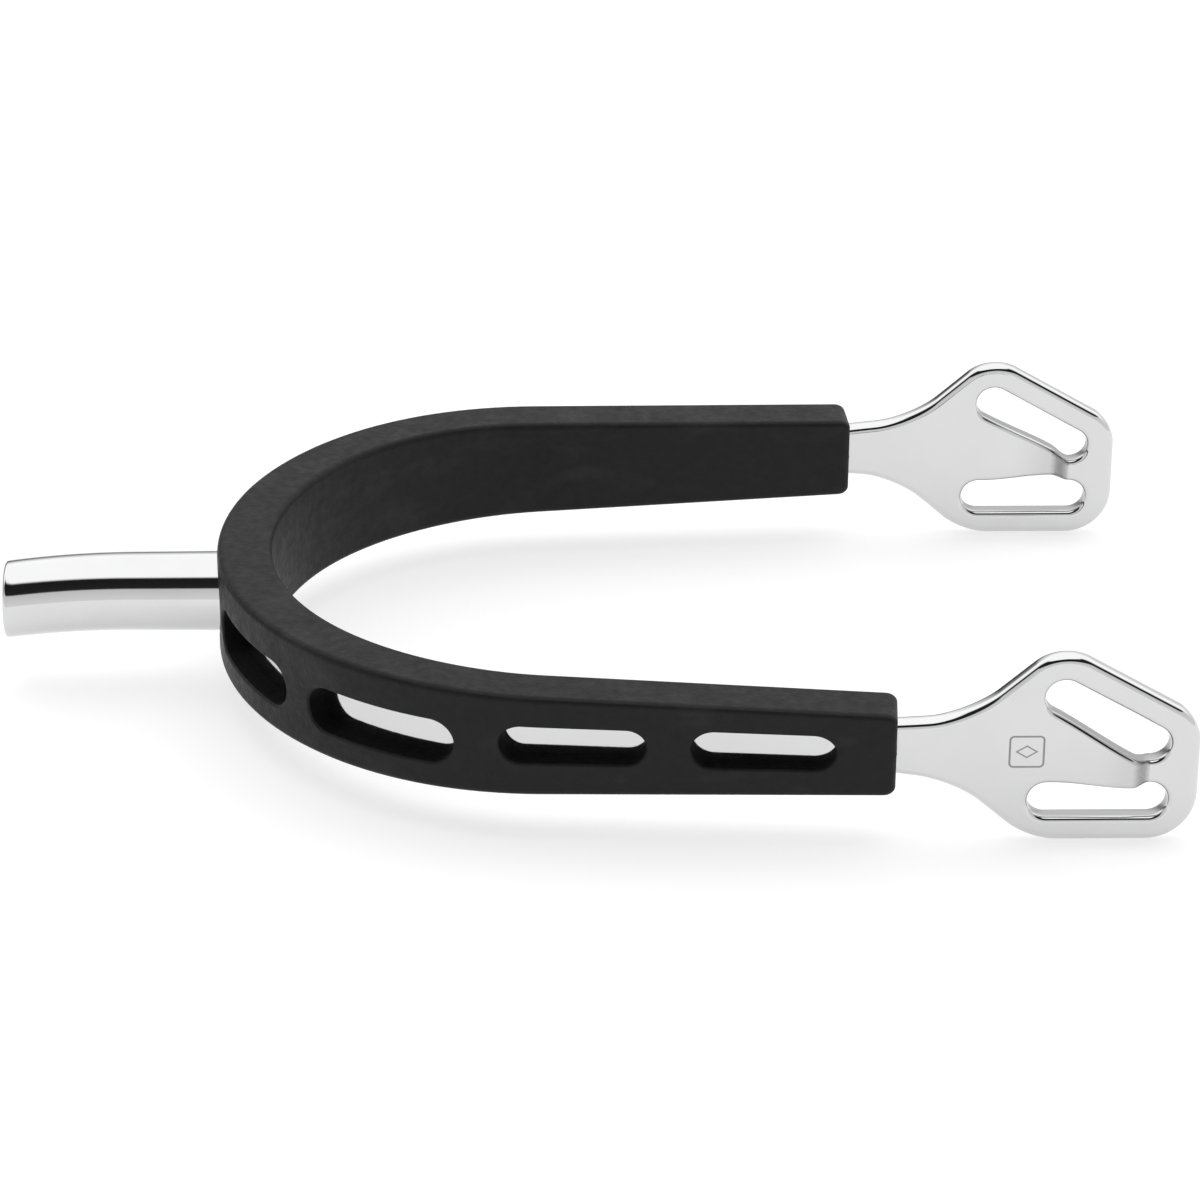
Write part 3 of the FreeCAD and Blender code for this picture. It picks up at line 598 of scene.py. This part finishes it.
def taper_share(sleeve, course, along):
    """Height of the sleeve at a distance along the band, as a share of its height at the heel."""
    place_x = course.at(abs(along))[0].x
    past = max(0.0, place_x - sleeve.taper_start)
    blend = sleeve.taper_blend * math.sin(sleeve.taper_angle)
    if past < blend:
        drop = sleeve.taper_blend - math.sqrt(sleeve.taper_blend ** 2 - past ** 2)
    else:
        drop = sleeve.taper_blend * (1 - math.cos(sleeve.taper_angle))
        drop += (past - blend) * math.tan(sleeve.taper_angle)
    return 1 - 2 * drop / sleeve.heel_height


class SPUR_OT_sleeve(bpy.types.Operator):
    """Rubber grip sleeve with windows that show the steel"""

    bl_idname = "spur.sleeve"
    bl_label = "Grip Sleeve"

    def execute(self, context):
        curve = context.scene.spur_curve
        band = context.scene.spur_band
        neck = context.scene.spur_neck
        sleeve = context.scene.spur_sleeve
        course = rubber_course(curve)
        end = course.distance_to(SLEEVE_HIGH.x)
        taper = course.distance_to(sleeve.taper_start)
        half = curve.thickness / 2
        tall = sleeve.heel_height / 2
        bm = bmesh.new()
        bm.verts.layers.float.new("cut_wall_and_painted_shade")
        skin = mirrored([(end, tall, sleeve.corner_radius), (end, -tall, sleeve.corner_radius)])
        skin_depth = rubber_depth(curve) / 2
        _, outside = slab(bm, skin, -skin_depth, skin_depth, sleeve.edge_round)
        holes = window_holes(bm, sleeve, neck, curve, course)
        refill(bm, outside, [first for first, _ in holes])

        mouth = band.exit_height / 2 / taper_share(sleeve, course, end)
        channel = mirrored([
            (taper, band.heel_height / 2, 0.0), (end, mouth, 0.0),
            (end, -mouth, 0.0), (taper, -band.heel_height / 2, 0.0)])
        inner = bmesh.new()
        slab(inner, channel, -half, half, 0.0)
        mesh = bpy.data.meshes.new("channel")
        inner.to_mesh(mesh)
        inner.free()
        bm.from_mesh(mesh)
        bpy.data.meshes.remove(mesh)
        bm.faces.ensure_lookup_table()
        floor = [
            face for face in bm.faces
            if face.normal.y > 0.5 and abs(face.calc_center_median().y - half) < TIGHT
        ]
        refill(bm, floor[0], [last for _, last in holes])
        for side in (1, -1):
            open_mouth(bm, side * end)

        for vert in bm.verts:
            if abs(vert.co.y) < half + TIGHT:
                vert.co.y += steel_offset(curve, course, vert.co.x)
        seam = sleeve.seam_width / 2
        cut_across(bm, course.stations(end, HEEL_STEP, BEND_STEP))
        branch = evenly(course.arc, end, BRANCH_STEP)[1:-1]
        cut_across(bm, branch)
        cut_across(bm, [-place for place in branch])
        cut_across(bm, (-seam, 0.0, seam), axis=(0.0, 0.0, 1.0))
        raise_seam(bm, end - sleeve.corner_radius, sleeve.seam_height)
        for vert in bm.verts:
            vert.co.z *= taper_share(sleeve, course, vert.co.x)
        bend_round_heel(bm, course)
        finish_piece(bm, "rubber_grip_sleeve", ["grip_sleeve"], moulded_rubber(context.scene))
        return {"FINISHED"}


def steel_offset(curve, course, along):
    """How far the steel's middle lies outside the rubber's at a distance along the band."""
    past = max(0.0, abs(along) - course.arc)
    return (curve.inner_wall - curve.outer_wall) / 2 + past * math.tan(curve.band_flare - curve.flare)


def open_mouth(bm, end):
    """Join the sleeve's end wall to the end of the channel for the steel."""
    walls = [
        face for face in bm.faces
        if len(face.verts) == 4 and all(abs(vert.co.x - end) < 10 * TIGHT for vert in face.verts)
    ]
    edges = [edge for face in walls for edge in face.edges]
    bmesh.ops.delete(bm, geom=walls, context="FACES_ONLY")
    bmesh.ops.bridge_loops(bm, edges=edges)


def raise_seam(bm, start, height):
    """Push the parting line outwards near the sleeve's open ends."""
    bmesh.ops.recalc_face_normals(bm, faces=bm.faces)
    bm.normal_update()
    line = [vert for vert in bm.verts if abs(vert.co.z) < TIGHT and abs(vert.co.x) > start]
    moves = [(vert, height * vert.normal) for vert in line if vert.normal.length > 0]
    for vert, move in moves:
        vert.co += move


# ---------------------------------------------------------------- materials
def new_material(name):
    """An empty node material and its Principled shader."""
    material = bpy.data.materials.new(name)
    material.use_nodes = True
    tree = material.node_tree
    tree.nodes.clear()
    shader = tree.nodes.new("ShaderNodeBsdfPrincipled")
    output = tree.nodes.new("ShaderNodeOutputMaterial")
    tree.links.new(shader.outputs["BSDF"], output.inputs["Surface"])
    return material, tree, shader


def node(tree, kind, inputs=None, **settings):
    """Add a node, set its own settings and fill or link its inputs."""
    made = tree.nodes.new(kind)
    for key, value in settings.items():
        setattr(made, key, value)
    for key, value in (inputs or {}).items():
        if isinstance(value, bpy.types.NodeSocket):
            tree.links.new(value, made.inputs[key])
        else:
            made.inputs[key].default_value = value
    return made


def maths(tree, operation, first, second=0.0, third=0.0):
    """A Math node's result."""
    inputs = {0: first, 1: second, 2: third}
    return node(tree, "ShaderNodeMath", inputs, operation=operation).outputs[0]


def mix(tree, share, first, second):
    """A Mix node's colour: the first at a share of nought, the second at one."""
    inputs = {0: share, 6: first, 7: second}
    return node(tree, "ShaderNodeMix", inputs, data_type="RGBA").outputs[2]


def noise(tree, place, scale, detail=2.0):
    """A Noise node's height."""
    inputs = {"Vector": place, "Scale": scale, "Detail": detail}
    return node(tree, "ShaderNodeTexNoise", inputs).outputs["Fac"]


def spread(tree, value, low=0.0, high=1.0, start=0.0, end=1.0):
    """Map a value from start..end to low..high."""
    inputs = {"Value": value, "From Min": start, "From Max": end, "To Min": low, "To Max": high}
    return node(tree, "ShaderNodeMapRange", inputs).outputs["Result"]


def tinted(colour, share=1.0):
    """A shader's colour from a plain one, lightened or darkened by a share."""
    return [channel * share for channel in colour] + [1.0]


def object_place(tree, stretch=(1.0, 1.0, 1.0)):
    """Object coordinates, stretched."""
    place = node(tree, "ShaderNodeTexCoord").outputs["Object"]
    return node(tree, "ShaderNodeMapping", {"Vector": place, "Scale": stretch}).outputs["Vector"]


def stamp(tree):
    """A plain framed lozenge, shallowly etched into the outer face of the -Y plate."""
    middle_x, middle_z = 89.75 * MM, -0.15 * MM
    half, corner, line = 2.0 * MM, 0.5 * MM, 0.12 * MM
    lozenge_half, lozenge_squash, lozenge_line = half * 0.6, 1.6, line * 1.4
    face_y = BAND_LOW.y + 2.0 * MM
    parts = node(tree, "ShaderNodeSeparateXYZ", {0: object_place(tree)}).outputs
    across = maths(tree, "ABSOLUTE", maths(tree, "SUBTRACT", parts["X"], middle_x))
    up = maths(tree, "ABSOLUTE", maths(tree, "SUBTRACT", parts["Z"], middle_z))
    past_x = maths(tree, "MAXIMUM", maths(tree, "SUBTRACT", across, half - corner), 0.0)
    past_z = maths(tree, "MAXIMUM", maths(tree, "SUBTRACT", up, half - corner), 0.0)
    squares = maths(tree, "ADD", maths(tree, "POWER", past_x, 2.0), maths(tree, "POWER", past_z, 2.0))
    border = maths(tree, "COMPARE", maths(tree, "SQRT", squares), corner, line)
    slanting = maths(tree, "ADD", across, maths(tree, "MULTIPLY", up, lozenge_squash))
    lozenge = maths(tree, "COMPARE", slanting, lozenge_half, lozenge_line)
    lines = maths(tree, "MAXIMUM", border, lozenge)
    return maths(tree, "MULTIPLY", lines, maths(tree, "LESS_THAN", parts["Y"], face_y))


def polished_steel(scene):
    """Bright polished stainless steel with faint buffing marks and an etched stamp."""
    known = bpy.data.materials.get("polished_steel")
    if known:
        return known
    finish = scene.spur_finish
    material, tree, shader = new_material("polished_steel")
    cloud = noise(tree, object_place(tree), scale=160.0, detail=3.0)
    buffing = noise(tree, object_place(tree, (60.0, 60.0, 900.0)), scale=4.0, detail=3.0)
    etched = stamp(tree)
    steel = tinted(finish.steel)
    worn = tinted(finish.steel, 0.94)
    line = tinted(finish.steel, 0.40)
    marked = mix(tree, etched, mix(tree, cloud, steel, worn), line)
    # The marked walls and tongues get a darker steel colour. On the slot walls it is a duller sawn finish,
    # also painted darker as shade; on the tongues it is painted shade only.
    wall = node(tree, "ShaderNodeAttribute", attribute_name="cut_wall_and_painted_shade").outputs["Fac"]
    scored = noise(tree, object_place(tree, (90.0, 2600.0, 2600.0)), scale=1.0, detail=2.0)
    sawn_and_shaded_steel = mix(tree, spread(tree, scored, low=0.12, high=0.45), line, steel)
    tree.links.new(mix(tree, wall, marked, sawn_and_shaded_steel), shader.inputs["Base Color"])
    gloss = spread(tree, cloud, finish.steel_roughness * 0.7, finish.steel_roughness * 1.3)
    gloss = maths(tree, "ADD", gloss, maths(tree, "MULTIPLY", etched, 0.3))
    gloss = maths(tree, "ADD", gloss, maths(tree, "MULTIPLY", wall, 0.25))
    tree.links.new(gloss, shader.inputs["Roughness"])
    shader.inputs["Metallic"].default_value = 1.0
    height = maths(tree, "SUBTRACT", maths(tree, "MULTIPLY", buffing, 0.05), etched)
    bump = node(
        tree, "ShaderNodeBump", {"Height": height, "Strength": 0.25, "Distance": 0.03 * MM})
    tree.links.new(bump.outputs["Normal"], shader.inputs["Normal"])
    return material


def moulded_rubber(scene):
    """Matte black moulded rubber with a fine grain and faint mottling."""
    finish = scene.spur_finish
    material, tree, shader = new_material("moulded_rubber")
    mottle = noise(tree, object_place(tree), scale=240.0, detail=5.0)
    grain = noise(tree, object_place(tree), scale=2200.0, detail=3.0)
    speckle = noise(tree, object_place(tree), scale=850.0, detail=3.0)
    dust = noise(tree, object_place(tree, (1.0, 1.0, 2.2)), scale=90.0, detail=3.0)
    dusty = spread(tree, dust, start=0.56, end=0.78)
    dark = tinted(finish.rubber, 0.45)
    light = tinted(finish.rubber, 1.9)
    pale = tinted(finish.rubber, 3.2)
    tone = mix(tree, dusty, mix(tree, mottle, dark, light), pale)
    # Painted shade: the marked walls of the windows and the neck's hole are painted near black, darker than
    # the rubber itself, for the shade in these recesses.
    wall = node(tree, "ShaderNodeAttribute", attribute_name="cut_wall_and_painted_shade").outputs["Fac"]
    black = (0.0012, 0.0012, 0.0012, 1.0)
    tree.links.new(mix(tree, wall, tone, black), shader.inputs["Base Color"])
    rough = spread(tree, mottle, finish.rubber_roughness - 0.12, finish.rubber_roughness + 0.12)
    rough = maths(tree, "ADD", rough, maths(tree, "MULTIPLY", wall, 0.4))
    rough = maths(tree, "ADD", rough, spread(tree, speckle, low=-0.16, high=0.16))
    tree.links.new(rough, shader.inputs["Roughness"])
    shader.inputs["Specular IOR Level"].default_value = 0.22
    height = maths(tree, "ADD", grain, maths(tree, "MULTIPLY", speckle, 0.8))
    bump = node(tree, "ShaderNodeBump", {"Height": height, "Strength": 0.5, "Distance": 0.09 * MM})
    tree.links.new(bump.outputs["Normal"], shader.inputs["Normal"])
    return material


def pale_floor(scene):
    """A plain pale floor, slightly self-lit so that shadows stay soft."""
    material, tree, shader = new_material("pale_floor")
    shader.inputs["Base Color"].default_value = tinted(scene.spur_finish.floor)
    shader.inputs["Roughness"].default_value = 0.9
    shader.inputs["Specular IOR Level"].default_value = 0.1
    shader.inputs["Emission Color"].default_value = (1.0, 1.0, 1.0, 1.0)
    shader.inputs["Emission Strength"].default_value = 0.62
    return material


# ---------------------------------------------------------------- stage
def ramp(tree, value, stops):
    """A Color Ramp's colour from (place, grey) stops."""
    made = node(tree, "ShaderNodeValToRGB", {"Fac": value})
    elements = made.color_ramp.elements
    while len(elements) < len(stops):
        elements.new(0.5)
    for element, (place, grey) in zip(elements, stops):
        element.position = place
        element.color = (grey, grey, grey, 1.0)
    return made.outputs["Color"]


def studio_world(scene):
    """Soft white studio: bright overhead, with one dark gap high in front of the object."""
    world = bpy.data.worlds.new("studio")
    scene.world = world
    world.use_nodes = True
    tree = world.node_tree
    tree.nodes.clear()
    direction = node(tree, "ShaderNodeTexCoord").outputs["Generated"]
    parts = node(tree, "ShaderNodeSeparateXYZ", {0: direction}).outputs
    overhead = (1.24, 1.24, 1.24, 1.0)
    backdrop = (0.93, 0.93, 0.93, 1.0)
    front = ramp(tree, spread(tree, parts["Z"], start=-1.0), [
        (0.0, 0.75), (0.50, 0.80), (0.745, 0.66), (0.765, 0.02),
        (0.935, 0.012), (0.955, overhead[0]), (1.0, overhead[0]),
    ])
    across = spread(tree, parts["X"], low=0.05, high=0.75, start=-0.3, end=0.45)
    lifted = spread(tree, parts["Z"], start=0.14, end=0.48)
    back = mix(tree, lifted, across, overhead)
    behind = spread(tree, parts["Y"], start=-0.12, end=0.12)
    around = mix(tree, behind, front, back)
    seen = node(tree, "ShaderNodeLightPath").outputs["Is Camera Ray"]
    colour = mix(tree, seen, around, backdrop)
    light = node(tree, "ShaderNodeBackground", {"Color": colour, "Strength": 1.15})
    output = node(tree, "ShaderNodeOutputWorld")
    tree.links.new(light.outputs[0], output.inputs["Surface"])


class SPUR_OT_stage(bpy.types.Operator):
    """Camera, pale floor and soft studio light"""

    bl_idname = "spur.stage"
    bl_label = "Stage"

    def execute(self, context):
        scene = context.scene
        stage = scene.spur_stage
        lens = bpy.data.cameras.new("camera")
        lens.lens = stage.lens
        lens.sensor_width = 36.0
        lens.clip_start = 0.01
        lens.clip_end = 50.0
        camera = bpy.data.objects.new("camera", lens)
        turn = Matrix.Rotation(stage.yaw, 4, "Z") @ Matrix.Rotation(stage.tilt, 4, "X")
        turn = turn @ Matrix.Rotation(stage.roll, 4, "Z")
        camera.matrix_world = Matrix.Translation(stage.camera_place) @ turn
        scene.collection.objects.link(camera)
        scene.camera = camera

        bm = bmesh.new()
        bmesh.ops.create_grid(bm, x_segments=1, y_segments=1, size=stage.floor_size / 2)
        bmesh.ops.translate(bm, verts=bm.verts, vec=(0.0, 0.0, CAD_BOX[0][2] - 0.2 * MM))
        mesh = bpy.data.meshes.new("floor")
        bm.to_mesh(mesh)
        bm.free()
        floor = bpy.data.objects.new("floor", mesh)
        scene.collection.objects.link(floor)
        mesh.materials.append(pale_floor(scene))

        softbox = bpy.data.lights.new("overhead_softbox", "AREA")
        softbox.shape = "RECTANGLE"
        softbox.size = 0.9
        softbox.size_y = 0.6
        softbox.energy = stage.top_light
        lamp = bpy.data.objects.new("overhead_softbox", softbox)
        lamp.location = (0.05, 0.15, 0.9)
        lamp.visible_glossy = False
        scene.collection.objects.link(lamp)

        studio_world(scene)
        scene.view_settings.view_transform = "Standard"
        scene.view_settings.look = "None"
        return {"FINISHED"}


class SPUR_PT_panel(bpy.types.Panel):
    """Lists the spur's pieces and sizes"""

    bl_label = "Riding Spur"
    bl_idname = "SPUR_PT_panel"
    bl_space_type = "VIEW_3D"
    bl_region_type = "UI"
    bl_category = "Spur"

    def draw(self, context):
        for operator in OPERATORS:
            self.layout.operator(operator.bl_idname)
        for key in GROUPS:
            group = getattr(context.scene, key)
            box = self.layout.box()
            box.label(text=key.replace("_", " ").title())
            for name in group.__annotations__:
                box.prop(group, name)


OPERATORS = (SPUR_OT_stage, SPUR_OT_band, SPUR_OT_neck, SPUR_OT_sleeve)
GROUPS = {
    "spur_curve": SpurCurve,
    "spur_band": SpurBand,
    "spur_neck": SpurNeck,
    "spur_sleeve": SpurSleeve,
    "spur_finish": SpurFinish,
    "spur_stage": SpurStage,
}


def register():
    """Register every class and hang the property groups on the scene."""
    for group in GROUPS.values():
        bpy.utils.register_class(group)
    for key, group in GROUPS.items():
        setattr(bpy.types.Scene, key, PointerProperty(type=group))
    for operator in OPERATORS:
        bpy.utils.register_class(operator)
    bpy.utils.register_class(SPUR_PT_panel)


def unregister():
    """Undo register."""
    bpy.utils.unregister_class(SPUR_PT_panel)
    for operator in OPERATORS:
        bpy.utils.unregister_class(operator)
    for key, group in GROUPS.items():
        delattr(bpy.types.Scene, key)
        bpy.utils.unregister_class(group)


def main():
    """Build the stage and every piece."""
    register()
    bpy.ops.spur.stage()
    bpy.ops.spur.band()
    bpy.ops.spur.neck()
    bpy.ops.spur.sleeve()


if __name__ == "__main__":
    main()
